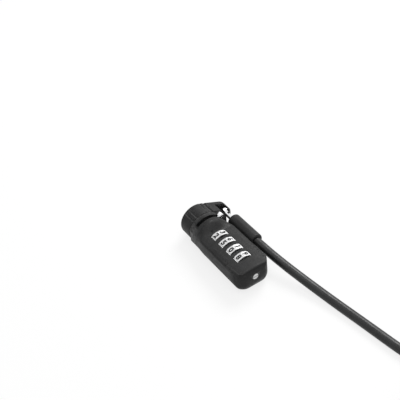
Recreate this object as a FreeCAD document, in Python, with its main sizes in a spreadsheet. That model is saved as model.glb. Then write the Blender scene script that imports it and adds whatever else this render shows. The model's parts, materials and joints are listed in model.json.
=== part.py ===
import FreeCAD, Part
import math
import os
import re

import PartDesign
import Sketcher

# Laptop cable lock. X runs along the lock axis, from the tail to the nose, and X = 0 is the plane
# that the nose pad lies on. Y points left, the cable's ear is on the right, and Z points up.

V = FreeCAD.Vector
X_AXIS = V(1, 0, 0)
Y_AXIS = V(0, 1, 0)
Z_AXIS = V(0, 0, 1)

SIZES = {
    # opening in the computer that the nose enters
    "slot_width": 3.0,
    "slot_length": 7.0,
    "slot_play": 0.1,
    # fits
    "running_fit": 0.06,
    "part_gap": 0.1,
    "end_gap": 0.3,
    # nose
    "pad_thickness": 1.0,
    "pad_width": 4.2,
    "boss_inset": 0.2,
    "plug_length": 4.0,
    "lug_length": 2.0,
    # hook, neck and drum
    "neck_radius": 1.35,
    "hook_thickness": 2.0,
    "hook_width": 2.5,
    "hook_inset": 0.3,
    "hook_gap": 0.2,
    "drum_radius": 6.0,
    "drum_length": 14.3,
    "turn_pin_radius": 1.1,
    "turn_pin_setback": 3.6,
    "turn_pin_top": 11.9,
    "turn_pin_root": 3.4,
    "turn_pin_angle": 50,
    "turn_range": 90,
    # code shaft
    "shaft_radius": 2.45,
    "shaft_travel": 3.8,
    "tang_side": 3.4,
    "tang_play": 0.075,
    "fin_radius": 3.55,
    "fin_width": 1.4,
    "fin_length": 1.6,
    "gate_play": 0.15,
    "key_radius": 3.2,
    "key_length": 1.3,
    "rod_radius": 0.9,
    "web_thickness": 5.35,
    # number wheels and the sleeves inside them
    "wheel_count": 4,
    "wheel_pitch": 7.5,
    "wheel_radius": 7.7,
    "wheel_flat": 7.35,
    "wheel_width": 4.2,
    "wheel_side_gap": 0.4,
    "wheel_top_gap": 0.3,
    "wheel_show": 1.4,
    "wheel_groove": 0.25,
    "wheel_flute": 0.4,
    "sleeve_radius": 4.4,
    "sleeve_wall": 0.7,
    "flange_half": 1.0,
    # rear end of the shaft, its spring and the reset screw
    "spring_length": 3.4,
    "spring_radius": 2.3,
    "spring_wire": 0.5,
    "bush_thickness": 1.6,
    "bush_radius": 3.34,
    "cam_thickness": 0.8,
    "cam_radius": 2.6,
    "tail_wall": 1.4,
    "screw_radius": 2.0,
    "screw_thickness": 0.7,
    "screw_shank": 1.0,
    "screw_inset": 0.3,
    "driver_slot": 0.6,
    # housing outside
    "half_width": 11.8,
    "crown_radius": 80.0,
    "top_corner": 1.4,
    "bottom_corner": 8.5,
    "head_half_width": 11.3,
    "head_top": 10.6,
    "head_crown": 11.4,
    "head_corner": 6.0,
    "head_length": 7.1,
    "slope_length": 8.0,
    "tail_bulge": 1.3,
    "tail_corner": 4.0,
    "tail_rake_top": 1.8,
    "tail_rake_bottom": 3.0,
    # neck, collar and its clip
    "neck_wall": 2.54,
    "groove_setback": 0.8,
    "groove_width": 0.8,
    "groove_depth": 0.6,
    "clip_rise": 0.6,
    "clip_opening": 50,
    "collar_wall": 1.94,
    "collar_length": 10.4,
    "collar_front_gap": 0.2,
    "collar_round": 0.8,
    # ear, eye and sleeve of the cable
    "hinge_wall": 3.4,
    "hinge_radius": 1.1,
    "hinge_drop": 0.5,
    "eye_radius": 2.5,
    "eye_thickness": 2.4,
    "eye_side_gap": 0.3,
    "eye_front_gap": 0.7,
    "cheek": 2.0,
    "ear_radius": 4.7,
    "link_shank": 1.5,
    "link_insert": 5.0,
    "crimp_setback": 9.2,
    "crimp_radius": 4.4,
    "crimp_length": 24.0,
    "crimp_side_gap": 1.2,
    "crimp_wall": 0.8,
    "crimp_lip": 1.5,
    "crimp_round": 1.2,
    "cable_insert": 6.0,
    # base cover
    "parting_wall": 0.5,
    "detent_floor": 1.2,
    "strip_thickness": 0.3,
    "strip_width": 3.0,
    "strip_margin": 4.6,
    "bump_rise": 0.35,
    "bump_half": 1.1,
    "bump_gap": 0.25,
    "cover_lap": 1.3,
    "saddle_drop": 2.6,
    "thread_radius": 0.95,
    "screw_head": 1.8,
    "screw_sink": 0.8,
    "screw_grip": 2.3,
    "front_screw_setback": 2.8,
    "rear_screw_setback": 2.45,
    "rear_screw_side": 5.0,
    # cable, the hank that its spare length is folded into, and the end loop
    "cable_diameter": 5.5,
    "hank_half": 23.5,
    "hank_run": 57.5,
    "turn_pitch": 5.92,
    "tie_width": 12.0,
    "tie_thickness": 1.0,
    "lane_half": 3.0,
    "barrel_wall": 1.0,
    "barrel_length": 18.0,
    "loop_bend": 22.0,
    "loop_inner": 34.0,
}

# Places and radii that follow from the sizes above. X places are negative, towards the tail.
DERIVED = {
    "pad_inner": "pad_outer - pad_width",
    "boss_radius": "pad_inner - part_gap",
    "housing_front": "-pad_thickness",
    "plug_rear": "housing_front - plug_length",
    "drum_front": "plug_rear - end_gap",
    "drum_rear": "drum_front - drum_length",
    "web_front": "drum_rear - hook_gap",
    "web_rear": "web_front - web_thickness",
    "first_wheel": "web_rear - wheel_pitch / 2",
    "row_end": "web_rear - wheel_pitch * wheel_count",
    "trough_end": "row_end - hook_gap",
    "shoulder_rest": "row_end - 2.5 * part_gap",
    "spring_front": "shoulder_rest - part_gap",
    "spring_rear": "spring_front - spring_length",
    "bush_front": "spring_rear - part_gap",
    "bush_rear": "bush_front - bush_thickness",
    "cam_front": "bush_rear - hook_gap",
    "cam_rear": "cam_front - cam_thickness",
    "cavity_end": "cam_rear - hook_gap",
    "head_seat": "cavity_end - tail_wall",
    "screw_face": "head_seat - screw_thickness",
    "tail_end": "screw_face - screw_inset",
    "neck_bore": "drum_radius + running_fit",
    "journal": "neck_bore + neck_wall",
    "pad_outer": "journal - 2 * part_gap",
    "collar_bore": "journal + running_fit",
    "collar_radius": "collar_bore + collar_wall",
    "collar_front": "housing_front - collar_front_gap",
    "collar_rear": "collar_front - collar_length",
    "shoulder": "collar_rear - end_gap",
    "head_rear": "shoulder - head_length",
    "slope_rear": "head_rear - slope_length",
    "groove_front": "housing_front - groove_setback",
    "groove_rear": "groove_front - groove_width",
    "groove_radius": "journal - groove_depth",
    "clip_outer": "journal + clip_rise",
    "counterbore": "clip_outer + part_gap",
    "counterbore_rear": "groove_rear - end_gap",
    "turn_pin_place": "drum_rear + turn_pin_setback",
    "tang_front": "web_front",
    "tang_rear": "drum_rear - shaft_travel - end_gap",
    "tang_socket": "tang_side + 2 * tang_play",
    "socket_front": "tang_front + shaft_travel + 5 * part_gap",
    "deck_top": "wheel_radius - wheel_show",
    "strip_top": "wheel_radius + bump_gap + bump_rise",
    "base_level": "strip_top + strip_thickness + detent_floor",
    "chamber_radius": "wheel_radius + wheel_top_gap",
    "chamber_half": "wheel_width / 2 + wheel_side_gap",
    "trough_radius": "sleeve_radius + running_fit + 0.02",
    "rear_trough": "bush_radius + running_fit",
    "parting": "neck_bore + parting_wall",
    "sleeve_half": "(wheel_pitch - part_gap) / 2",
    "sleeve_pocket": "sleeve_radius - sleeve_wall",
    "flange_bore": "shaft_radius + gate_play",
    "gate_width": "fin_width + 2 * gate_play",
    "wheel_bore": "sleeve_radius + part_gap / 2",
    "crimp_axis": "-(half_width + crimp_side_gap + crimp_radius)",
    "notch_half": "eye_thickness / 2 + eye_side_gap",
    "ear_tip": "crimp_axis - notch_half - cheek",
    "ear_centre": "ear_tip + ear_radius",
    "notch_front": "collar_front - hinge_wall",
    "hinge_place": "notch_front - eye_front_gap - eye_radius",
    "hinge_level": "-hinge_drop",
    "crimp_front": "hinge_place - crimp_setback",
    "crimp_rear": "crimp_front - crimp_length",
    "cover_front": "web_front + cover_lap",
    "cover_rear": "bush_rear + part_gap",
    "head_face": "base_level - screw_sink",
    "front_screw_place": "web_front - front_screw_setback",
    "rear_screw_place": "row_end - rear_screw_setback",
    "loop_rise": "cable_diameter + barrel_wall + 2.5 * part_gap",
}

# The cable's free route, from inside the crimp sleeve down to the surface that the lock lies on, and
# on to the start of the hank.
LEAD_ROUTE = [
    (-35.0, -17.4, -0.5),
    (-50.0, -17.4, -0.5),
    (-67.0, -20.0, -3.2),
    (-84.0, -23.6, -6.3),
    (-102.0, -26.6, -7.85),
    (-124.0, -29.4, -7.85),
    (-148.0, -32.2, -7.85),
    (-171.0, -36.4, -7.3),
    (-188.0, -39.1, -6.75),
    (-203.5, -39.1, -6.75),
]

# The hank's straight runs: the side, the lane counted from outside, and the layer at start and end.
HANK_RUNS = [
    (1, 0, 0, 0),
    (-1, 0, 0, 0),
    (1, 1, 0, 0),
    (-1, 1, 0, 1),
    (1, 1, 1, 1),
    (-1, 0, 1, 1),
    (1, 0, 1, 2),
    (-1, 0, 2, 2),
    (1, 1, 2, 2),
    (-1, 1, 2, 3),
    (1, 1, 3, 3),
    (-1, 0, 3, 4),
]

NAMES = re.compile(r"[a-z]+(?:_[a-z]+)+|shoulder|journal|parting|counterbore|cheek")


def make_sheet(doc):
    """Puts every size and every derived place into the spreadsheet."""
    sheet = doc.addObject("Spreadsheet::Sheet", "Sizes")
    rows = [(name, str(value)) for name, value in SIZES.items()]
    rows += [(name, "=" + formula) for name, formula in DERIVED.items()]
    for row, (name, text) in enumerate(rows, start=1):
        sheet.set(f"A{row}", name)
        sheet.setAlias(f"B{row}", name)
        if not text.startswith("="):
            sheet.set(f"B{row}", text)
    for row, (name, text) in enumerate(rows, start=1):
        if text.startswith("="):
            sheet.set(f"B{row}", text)
    doc.recompute()
    return sheet


doc = FreeCAD.newDocument("cable_lock")
s = make_sheet(doc)


def bound(text):
    """The expression for a property: each size's name, as the sheet knows it."""
    return NAMES.sub(lambda found: "Sizes." + found.group(0), text)


def origin_plane(body, role):
    return next(f for f in body.Origin.OriginFeatures if f.Role == role)


def new_body(label):
    body = doc.addObject("PartDesign::Body", label + "_body")
    body.Label = label
    return body


def sketch_on(body, role, offset=None):
    sketch = body.newObject("Sketcher::SketchObject", body.Label + "_sketch")
    sketch.AttachmentSupport = [(origin_plane(body, role), "")]
    sketch.MapMode = "FlatFace"
    if offset:
        sketch.setExpression("AttachmentOffset.Base.z", bound(offset))
    return sketch


class Measure:
    """Reads the present value of an expression through one cell of the sheet."""

    def __init__(self):
        self.cell = "D1"

    def __call__(self, text):
        s.set(self.cell, "=" + text)
        s.recompute()
        return float(s.get(self.cell))


measure = Measure()


def outline(sketch, corners):
    """A closed outline of straight lines, each corner placed by two expressions."""
    first = sketch.GeometryCount
    at = [(measure(a), measure(b)) for a, b in corners]
    count = len(corners)
    for k in range(count):
        start, end = at[k], at[(k + 1) % count]
        sketch.addGeometry(Part.LineSegment(V(*start, 0), V(*end, 0)), False)
    for k in range(count):
        following = first + (k + 1) % count
        sketch.addConstraint(Sketcher.Constraint("Coincident", first + k, 2, following, 1))
    for k, corner in enumerate(corners):
        for axis, kind in enumerate(("DistanceX", "DistanceY")):
            place = Sketcher.Constraint(kind, -1, 1, first + k, 1, at[k][axis])
            number = sketch.addConstraint(place)
            sketch.setExpression(f"Constraints[{number}]", bound(corner[axis]))


def turned(label, corners, angle="360", body=None):
    """A body turned about the lock axis from an outline of (place along X, radius)."""
    body = body or new_body(label)
    sketch = sketch_on(body, "XZ_Plane")
    outline(sketch, corners)
    turn = body.newObject("PartDesign::Revolution", label + "_turned")
    turn.Profile = sketch
    turn.ReferenceAxis = (sketch, ["H_Axis"])
    turn.setExpression("Angle", bound(angle))
    doc.recompute()
    return body


def pad(body, sketch, length, cut=False, back=False):
    kind = "PartDesign::Pocket" if cut else "PartDesign::Pad"
    feature = body.newObject(kind, body.Label + "_pad")
    feature.Profile = sketch
    feature.setExpression("Length", bound(length))
    feature.Reversed = back
    before = body.Shape.Volume if cut else 0.0
    doc.recompute()
    if cut and body.Shape.Volume > before - 1e-6:
        raise RuntimeError(f"{body.Label}: a pocket cut nothing")
    return feature


def ring(front, rear, inner, outer):
    """Outline of a ring, from its front and rear places and its two radii."""
    return [(rear, inner), (rear, outer), (front, outer), (front, inner)]


def box(x, y, z):
    """A box from three (low, high) pairs."""
    sides = [max(pair) - min(pair) for pair in (x, y, z)]
    return Part.makeBox(*sides, V(min(x), min(y), min(z)))


def rod(radius, x, y=0.0, z=0.0):
    """A cylinder along X between two places."""
    return Part.makeCylinder(radius, max(x) - min(x), V(min(x), y, z), X_AXIS)


def feature(label, shape):
    """A sub-part whose shape is worked out here from the sheet's values."""
    piece = doc.addObject("Part::Feature", label + "_solid")
    piece.Label = label
    piece.Shape = shape
    piece.Placement = shape.Placement
    return piece


def fuse(shapes):
    return shapes[0].multiFuse(shapes[1:]).removeSplitter()


def wheel_places():
    return [s.first_wheel - k * s.wheel_pitch for k in range(int(s.wheel_count))]


# Outer form of the housing and its cover


def section(x, half_width, top, bend, corner):
    """Cross-section at x: flat base, round lower corners, straight sides and a crowned top."""
    crown = 1.0 / bend
    low = s.bottom_corner
    base = -s.base_level
    level = top - crown + math.sqrt((crown - corner) ** 2 - (half_width - corner) ** 2)
    reach = crown / (crown - corner)
    touch_y = (half_width - corner) * reach
    touch_z = top - crown + (level - top + crown) * reach
    slant = math.atan2(level - top + crown, half_width - corner)
    mid = slant / 2
    corner_mid = (half_width - corner + corner * math.cos(mid), level + corner * math.sin(mid))
    low_mid = (
        half_width - low + low * math.cos(math.pi / 4),
        base + low - low * math.sin(math.pi / 4),
    )

    def at(y, z):
        return V(x, y, z)

    def arc(a, b, c):
        return Part.Arc(at(*a), at(*b), at(*c)).toShape()

    foot = (half_width - low, base)
    shin = (half_width, base + low)
    hip = (half_width, level)
    touch = (touch_y, touch_z)

    def other(point):
        return (-point[0], point[1])

    return Part.Wire(
        [
            Part.LineSegment(at(*other(foot)), at(*foot)).toShape(),
            arc(foot, low_mid, shin),
            Part.LineSegment(at(*shin), at(*hip)).toShape(),
            arc(hip, corner_mid, touch),
            arc(touch, (0.0, top), other(touch)),
            arc(other(touch), other(corner_mid), other(hip)),
            Part.LineSegment(at(*other(hip)), at(*other(shin))).toShape(),
            arc(other(shin), other(low_mid), other(foot)),
        ]
    )


def slope_sections(count=5):
    """Sections of the slope between the round head and the flat deck."""
    head = (s.head_half_width, s.head_top, 1 / s.head_crown, s.head_corner)
    deck = (s.half_width, s.deck_top, 1 / s.crown_radius, s.top_corner)
    wires = []
    for k in range(count):
        part = k / (count - 1)
        ease = part * part * (3 - 2 * part)
        form = [a + (b - a) * ease for a, b in zip(head, deck)]
        wires.append(section(s.head_rear - s.slope_length * part, *form))
    return wires


def tail_outline():
    """The tail seen from above, swept up, and seen from the side, swept across."""
    wide = s.half_width
    far = s.tail_end
    near = far + s.tail_bulge
    tall = 2 * s.base_level
    plan = Part.Wire(
        [
            Part.LineSegment(V(0, -wide, 0), V(0, wide, 0)).toShape(),
            Part.LineSegment(V(0, wide, 0), V(near, wide, 0)).toShape(),
            Part.Arc(V(near, wide, 0), V(far, 0, 0), V(near, -wide, 0)).toShape(),
            Part.LineSegment(V(near, -wide, 0), V(0, -wide, 0)).toShape(),
        ]
    )
    above = Part.Face(plan).extrude(V(0, 0, 2 * tall))
    above.translate(V(0, 0, -tall))
    corners = [e for e in above.Edges if abs(e.CenterOfMass.x - near) < 1e-6 and e.BoundBox.ZLength > tall]
    above = above.makeFillet(s.tail_corner, corners)

    top = V(far + s.tail_rake_top, 0, s.deck_top + 1)
    middle = V(far, 0, -s.hinge_drop)
    bottom = V(far + s.tail_rake_bottom, 0, -s.base_level)
    side = Part.Wire(
        [
            Part.Arc(top, middle, bottom).toShape(),
            Part.LineSegment(bottom, V(0, 0, bottom.z)).toShape(),
            Part.LineSegment(V(0, 0, bottom.z), V(0, 0, tall)).toShape(),
            Part.LineSegment(V(0, 0, tall), V(top.x, 0, tall)).toShape(),
            Part.LineSegment(V(top.x, 0, tall), top).toShape(),
        ]
    )
    across = Part.Face(side).extrude(V(0, 4 * wide, 0))
    across.translate(V(0, -2 * wide, 0))
    return above, across


def deck_form():
    """The deck and the tail: one rounding goes along both sides and round the tail's top."""
    low = s.bottom_corner
    base = -s.base_level
    inner = s.half_width - low
    corner = low * math.sin(math.pi / 4)
    top = s.deck_top + s.top_corner

    def at(y, z):
        return V(s.slope_rear, y, z)

    lower = [
        Part.LineSegment(at(-inner, base), at(inner, base)),
        Part.Arc(
            at(inner, base), at(inner + corner, base + low - corner), at(s.half_width, base + low)
        ),
        Part.LineSegment(at(s.half_width, base + low), at(s.half_width, top)),
        Part.LineSegment(at(s.half_width, top), at(-s.half_width, top)),
        Part.LineSegment(at(-s.half_width, top), at(-s.half_width, base + low)),
        Part.Arc(
            at(-s.half_width, base + low), at(-inner - corner, base + low - corner), at(-inner, base)
        ),
    ]
    wire = Part.Wire([piece.toShape() for piece in lower])
    long_side = s.slope_rear - s.tail_end + 1
    rear = Part.Face(wire).extrude(V(-long_side, 0, 0))
    above, across = tail_outline()
    crown = rod(s.crown_radius, (s.tail_end - 1, s.slope_rear), 0.0, s.deck_top - s.crown_radius)
    crown.rotate(V(0, 0, s.deck_top - s.crown_radius), X_AXIS, 180)
    rear = rear.common(above).common(across).common(crown)
    deck = max(rear.Faces, key=lambda face: face.CenterOfMass.z)
    rim = [edge for edge in deck.Edges if edge.BoundBox.XMin < s.slope_rear - s.top_corner]
    return rear.makeFillet(s.top_corner, rim)


def outer_form():
    """The whole outside of the case, head, slope, deck and tail, without the neck."""
    head = section(s.head_rear, s.head_half_width, s.head_top, 1 / s.head_crown, s.head_corner)
    front = Part.Face(head).extrude(V(s.head_length, 0, 0))
    slope = Part.makeLoft(slope_sections(), True, False)
    return fuse([front, slope, deck_form()])


def cavity():
    """The space inside the housing: neck bore, trough, wheel chambers and shaft bore."""
    below = (-s.parting, 0.0)
    spaces = [
        rod(s.neck_bore, (s.web_front, 1.0)),
        rod(s.trough_radius, (s.trough_end, s.web_rear)),
        box((s.trough_end, s.web_rear), (-s.trough_radius, s.trough_radius), below),
        rod(s.rear_trough, (s.cavity_end, s.web_rear)),
        box((s.cavity_end, s.trough_end), (-s.rear_trough, s.rear_trough), below),
        rod(s.shaft_radius + s.running_fit, (s.web_rear, s.web_front)),
        box(
            (s.web_rear, s.web_front),
            (-s.gate_width / 2, s.gate_width / 2),
            (0.0, s.key_radius + s.part_gap),
        ),
        rod(s.screw_shank + s.running_fit, (s.head_seat, s.cavity_end)),
        rod(s.screw_radius + s.part_gap, (s.tail_end - 1, s.head_seat)),
    ]
    for x in wheel_places():
        along = (x - s.chamber_half, x + s.chamber_half)
        spaces.append(rod(s.chamber_radius, along))
        spaces.append(box(along, (-s.chamber_radius, s.chamber_radius), below))
    return spaces


def arc_slot():
    """The slot that the turn pin moves in: a stretch of a ring with round ends."""
    half = s.turn_pin_radius + s.gate_play
    reach = s.head_top + 3
    left_end = s.turn_pin_angle - s.turn_range
    slab = Part.Face(
        Part.makePolygon(
            [
                V(s.turn_pin_place - half, s.neck_bore - 1, 0),
                V(s.turn_pin_place - half, reach, 0),
                V(s.turn_pin_place + half, reach, 0),
                V(s.turn_pin_place + half, s.neck_bore - 1, 0),
                V(s.turn_pin_place - half, s.neck_bore - 1, 0),
            ]
        )
    )
    slab.rotate(V(0, 0, 0), X_AXIS, left_end + 90)
    pieces = [slab.revolve(V(0, 0, 0), X_AXIS, s.turn_range)]
    for degrees in (0, s.turn_range):
        end = Part.makeCylinder(half, reach - s.neck_bore + 1, V(s.turn_pin_place, 0, s.neck_bore - 1), Z_AXIS)
        end.rotate(V(0, 0, 0), X_AXIS, s.turn_pin_angle - degrees)
        pieces.append(end)
    return pieces


def neck_outline():
    """The neck that the collar turns on, with the groove of its clip."""
    neck = rod(s.journal, (s.shoulder - 1, s.housing_front))
    groove = rod(s.journal + 1, (s.groove_rear, s.groove_front))
    groove = groove.cut(rod(s.groove_radius, (s.groove_rear, s.groove_front)))
    return neck.cut(groove)


def make_housing(outer):
    body = fuse([outer, neck_outline()])
    cover_room = box(
        (s.cover_rear - s.part_gap / 2, s.cover_front + s.part_gap / 2),
        (-2 * s.half_width, 2 * s.half_width),
        (-2 * s.base_level, -s.parting),
    )
    threads = [
        Part.makeCylinder(s.thread_radius + 0.02, s.screw_grip + s.part_gap, V(x, y, -s.parting - 0.01))
        for x, y in screw_places()
    ]
    body = body.cut([cover_room] + cavity() + arc_slot() + threads)
    return feature("housing", body.removeSplitter())


def screw_places():
    rear = s.rear_screw_place
    return [
        (s.front_screw_place, 0.0),
        (rear, s.rear_screw_side),
        (rear, -s.rear_screw_side),
    ]


def make_cover(outer):
    """Base cover: the case's underside, with saddles, wheel pockets and the detent's pocket."""
    half = s.part_gap / 2
    room = box(
        (s.cover_rear + half, s.cover_front - half),
        (-2 * s.half_width, 2 * s.half_width),
        (-2 * s.base_level, -s.parting),
    )
    shell = outer.common(room)
    side = s.trough_radius - s.part_gap
    places = wheel_places()
    gap = s.chamber_half + s.part_gap
    edges = [s.web_rear - s.part_gap] + [x + sign * gap for x in places for sign in (1, -1)]
    edges.append(s.trough_end + s.part_gap)
    saddles = []
    for front, rear in zip(edges[0::2], edges[1::2]):
        saddle = box((rear, front), (-side, side), (-s.parting - half, -s.saddle_drop))
        saddles.append(saddle.cut(rod(s.trough_radius, (rear - 1, front + 1))))
    rear_side = s.rear_trough - s.part_gap
    end = box(
        (s.bush_rear + s.part_gap + half, s.bush_front),
        (-rear_side, rear_side),
        (-s.parting - half, -s.saddle_drop),
    )
    saddles.append(end.cut(rod(s.rear_trough, (s.bush_rear - 1, s.bush_front + 1))))
    body = fuse([shell] + saddles)
    cuts = [rod(s.chamber_radius, (x - s.chamber_half, x + s.chamber_half)) for x in places]
    strip_end = places[-1] - s.strip_margin
    strip_start = places[0] + s.strip_margin
    cuts.append(
        box(
            (strip_end - s.part_gap, strip_start + s.part_gap),
            (-s.strip_width / 2 - s.part_gap, s.strip_width / 2 + s.part_gap),
            (-s.strip_top - s.strip_thickness, -s.parting),
        )
    )
    for x, y in screw_places():
        cuts.append(Part.makeCylinder(s.thread_radius + 1.5 * s.part_gap, 6, V(x, y, -s.base_level - 1)))
        cuts.append(screw_sink(x, y))
    return feature("base_cover", body.cut(cuts).removeSplitter())


def screw_sink(x, y):
    """Countersink and counterbore of one cover screw, open downwards."""
    wide = s.screw_head + s.part_gap / 2
    narrow = s.thread_radius + s.part_gap
    face = V(x, y, -s.head_face)
    cone = Part.makeCone(wide, narrow, wide - narrow, face)
    below = Part.makeCylinder(wide, s.base_level, face - V(0, 0, s.base_level))
    return cone.fuse(below)


def make_cover_screws():
    """Three countersunk screws with a cross recess."""
    screws = []
    recess_long = s.screw_head * 1.1
    recess_wide = s.screw_head * 0.28
    for x, y in screw_places():
        face = V(x, y, -s.head_face)
        cone_height = s.screw_head - s.thread_radius
        head = Part.makeCone(s.screw_head, s.thread_radius, cone_height, face)
        tip = -s.parting + s.screw_grip
        shank = Part.makeCylinder(s.thread_radius, tip + s.head_face, face)
        screw = head.fuse(shank)
        for along, across in ((recess_long, recess_wide), (recess_wide, recess_long)):
            bar = box(
                (x - along / 2, x + along / 2),
                (y - across / 2, y + across / 2),
                (-s.head_face - 1, -s.head_face + 0.5),
            )
            screw = screw.cut(bar)
        screws.append(screw.removeSplitter())
    return feature("cover_screws", Part.makeCompound(screws))


def make_detent_spring():
    """Leaf strip, bent up into one bump under each wheel."""
    body = new_body("detent_spring")
    sketch = sketch_on(body, "XZ_Plane")
    top = []
    under = []
    for k in range(int(s.wheel_count)):
        x = f"first_wheel - {k} * wheel_pitch"
        for side, rise in (("+ bump_half", "0"), ("", "bump_rise"), ("- bump_half", "0")):
            top.append((f"{x} {side}", f"{rise} - strip_top"))
            under.append((f"{x} {side}", f"{rise} - strip_top - strip_thickness"))
    last = f"first_wheel - {int(s.wheel_count) - 1} * wheel_pitch - strip_margin"
    start = "first_wheel + strip_margin"
    ends = [(last, "-strip_top"), (last, "-strip_top - strip_thickness")]
    front = [(start, "-strip_top - strip_thickness"), (start, "-strip_top")]
    outline(sketch, top + ends + under[::-1] + front)
    leaf = pad(body, sketch, "strip_width")
    leaf.SideType = "Symmetric"
    doc.recompute()
    return body


def make_collar_clip():
    """Open ring in the neck's groove."""
    front = "groove_front - part_gap / 2"
    rear = "groove_rear + part_gap / 2"
    corners = ring(front, rear, "groove_radius + part_gap / 2", "clip_outer")
    return turned("collar_clip", corners, angle="360 - clip_opening")


def make_lock_nose():
    """Plug in the front of the neck, its boss, and the two guard lugs that enter the slot."""
    bore = "neck_radius + running_fit"
    corners = [
        ("plug_rear", bore),
        ("plug_rear", "neck_bore - running_fit / 6"),
        ("housing_front", "neck_bore - running_fit / 6"),
        ("housing_front", "boss_radius"),
        ("-boss_inset", "boss_radius"),
        ("-boss_inset", bore),
    ]
    body = turned("lock_nose", corners)
    sketch = sketch_on(body, "YZ_Plane", offset="-boss_inset")
    near = "neck_radius + 4 * slot_play"
    far = "slot_length / 2 - 2 * slot_play"
    high = "slot_width / 2 - slot_play"
    outline(sketch, [(near, f"-({high})"), (far, f"-({high})"), (far, high), (near, high)])
    outline(sketch, [(f"-({far})", f"-({high})"), (f"-({near})", f"-({high})"),
                     (f"-({near})", high), (f"-({far})", high)])
    pad(body, sketch, "lug_length + boss_inset")
    return body


def make_nose_pad():
    """Soft ring that lies on the computer's case."""
    edge = "part_gap * 2"
    corners = [
        ("housing_front", "pad_inner"),
        ("housing_front", "pad_outer"),
        (f"-({edge})", "pad_outer"),
        ("0", f"pad_outer - {edge}"),
        ("0", "pad_inner"),
    ]
    return turned("nose_pad", corners)


def make_tail_bush():
    """Disc with a guide tube for the shaft's rear rod, inside the spring."""
    bore = "rod_radius + running_fit"
    tube = f"{bore} + spring_wire"
    front = "spring_front - part_gap"
    corners = [
        ("bush_rear", "0"),
        ("bush_rear", "bush_radius"),
        ("bush_front", "bush_radius"),
        ("bush_front", tube),
        (front, tube),
        (front, bore),
        ("bush_rear + part_gap", bore),
        ("bush_rear + part_gap", "0"),
    ]
    return turned("tail_bush", corners)


def make_shaft_spring():
    """Compression spring, drawn at its resting length."""
    inner = "spring_radius - spring_wire"
    return turned("shaft_spring", ring("spring_front", "spring_rear", inner, "spring_radius"))


def make_t_bar():
    """Hook across the slot, round neck, drum, and the square socket for the tang."""
    hook_rear = "lug_length + hook_gap"
    corners = [
        ("drum_rear", "0"),
        ("drum_rear", "drum_radius - part_gap"),
        ("drum_rear + part_gap", "drum_radius"),
        ("drum_front - part_gap", "drum_radius"),
        ("drum_front", "drum_radius - part_gap"),
        ("drum_front", "neck_radius"),
        (f"{hook_rear} + hook_thickness / 2", "neck_radius"),
        (f"{hook_rear} + hook_thickness / 2", "0"),
    ]
    body = turned("t_bar_blank", corners)
    sketch = sketch_on(body, "YZ_Plane", offset=hook_rear)
    high = "slot_length / 2 - hook_inset"
    wide = "hook_width / 2"
    bevel = "hook_width / 4"
    outline(
        sketch,
        [
            (f"-({wide})", f"-({high} - {bevel})"),
            (f"-({wide} - {bevel})", f"-({high})"),
            (f"{wide} - {bevel}", f"-({high})"),
            (wide, f"-({high} - {bevel})"),
            (wide, f"{high} - {bevel}"),
            (f"{wide} - {bevel}", high),
            (f"-({wide} - {bevel})", high),
            (f"-({wide})", f"{high} - {bevel}"),
        ],
    )
    pad(body, sketch, "hook_thickness")
    socket = sketch_on(body, "YZ_Plane", offset="drum_rear")
    half = "tang_socket / 2"
    outline(socket, [(f"-{half}", f"-{half}"), (half, f"-{half}"), (half, half), (f"-{half}", half)])
    pad(body, socket, "socket_front - drum_rear", cut=True, back=True)
    hole = doc.addObject("Part::Cylinder", "turn_pin_hole")
    hole.setExpression("Radius", bound("turn_pin_radius + 0.02"))
    hole.setExpression("Height", bound("drum_radius"))
    hole.Placement = FreeCAD.Placement(V(0, 0, 0), FreeCAD.Rotation(X_AXIS, 50))
    hole.setExpression("Placement.Rotation.Angle", bound("turn_pin_angle"))
    hole.setExpression("Placement.Base.x", bound("turn_pin_place"))
    hole.setExpression("Placement.Base.y", bound("-turn_pin_root * sin(turn_pin_angle)"))
    hole.setExpression("Placement.Base.z", bound("turn_pin_root * cos(turn_pin_angle)"))
    drilled = doc.addObject("Part::Cut", "t_bar_drilled")
    drilled.Label = "t_bar"
    drilled.Base = body
    drilled.Tool = hole
    return drilled


def make_turn_pin():
    """Pin through the arc slot, with a low domed head."""
    dome = 0.5
    outer = s.turn_pin_top - dome
    shank = Part.makeCylinder(s.turn_pin_radius, outer - s.turn_pin_root, V(0, 0, s.turn_pin_root))
    cap = Part.makeCone(s.turn_pin_radius, s.turn_pin_radius - dome, dome, V(0, 0, outer))
    pin = shank.fuse(cap).removeSplitter()
    pin.translate(V(s.turn_pin_place, 0, 0))
    pin.rotate(V(0, 0, 0), X_AXIS, s.turn_pin_angle)
    return feature("turn_pin", pin)


def make_code_shaft():
    """Square tang, round shaft with a fin for each sleeve, guide key and rear rod."""
    corners = [
        ("bush_rear + 3 * part_gap", "0"),
        ("bush_rear + 3 * part_gap", "rod_radius"),
        ("shoulder_rest", "rod_radius"),
        ("shoulder_rest", "shaft_radius"),
        ("tang_rear", "shaft_radius"),
        ("tang_rear", "0"),
    ]
    body = turned("code_shaft", corners)
    tang = sketch_on(body, "YZ_Plane", offset="tang_rear")
    half = "tang_side / 2"
    outline(tang, [(f"-{half}", f"-{half}"), (half, f"-{half}"), (half, half), (f"-{half}", half)])
    pad(body, tang, "tang_front - tang_rear")
    fins = []
    for k in range(int(s.wheel_count)):
        rear = f"first_wheel - {k} * wheel_pitch - (flange_half + part_gap + fin_length)"
        fins.append((rear, "fin_length", "fin_radius"))
    fins.append(("tang_rear - part_gap - key_length", "key_length", "key_radius"))
    for rear, length, reach in fins:
        fin = sketch_on(body, "YZ_Plane", offset=rear)
        wide = "fin_width / 2"
        outline(fin, [(f"-{wide}", "0"), (wide, "0"), (wide, reach), (f"-{wide}", reach)])
        pad(body, fin, length)
    return body


WHEEL_SIDES = 10


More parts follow.
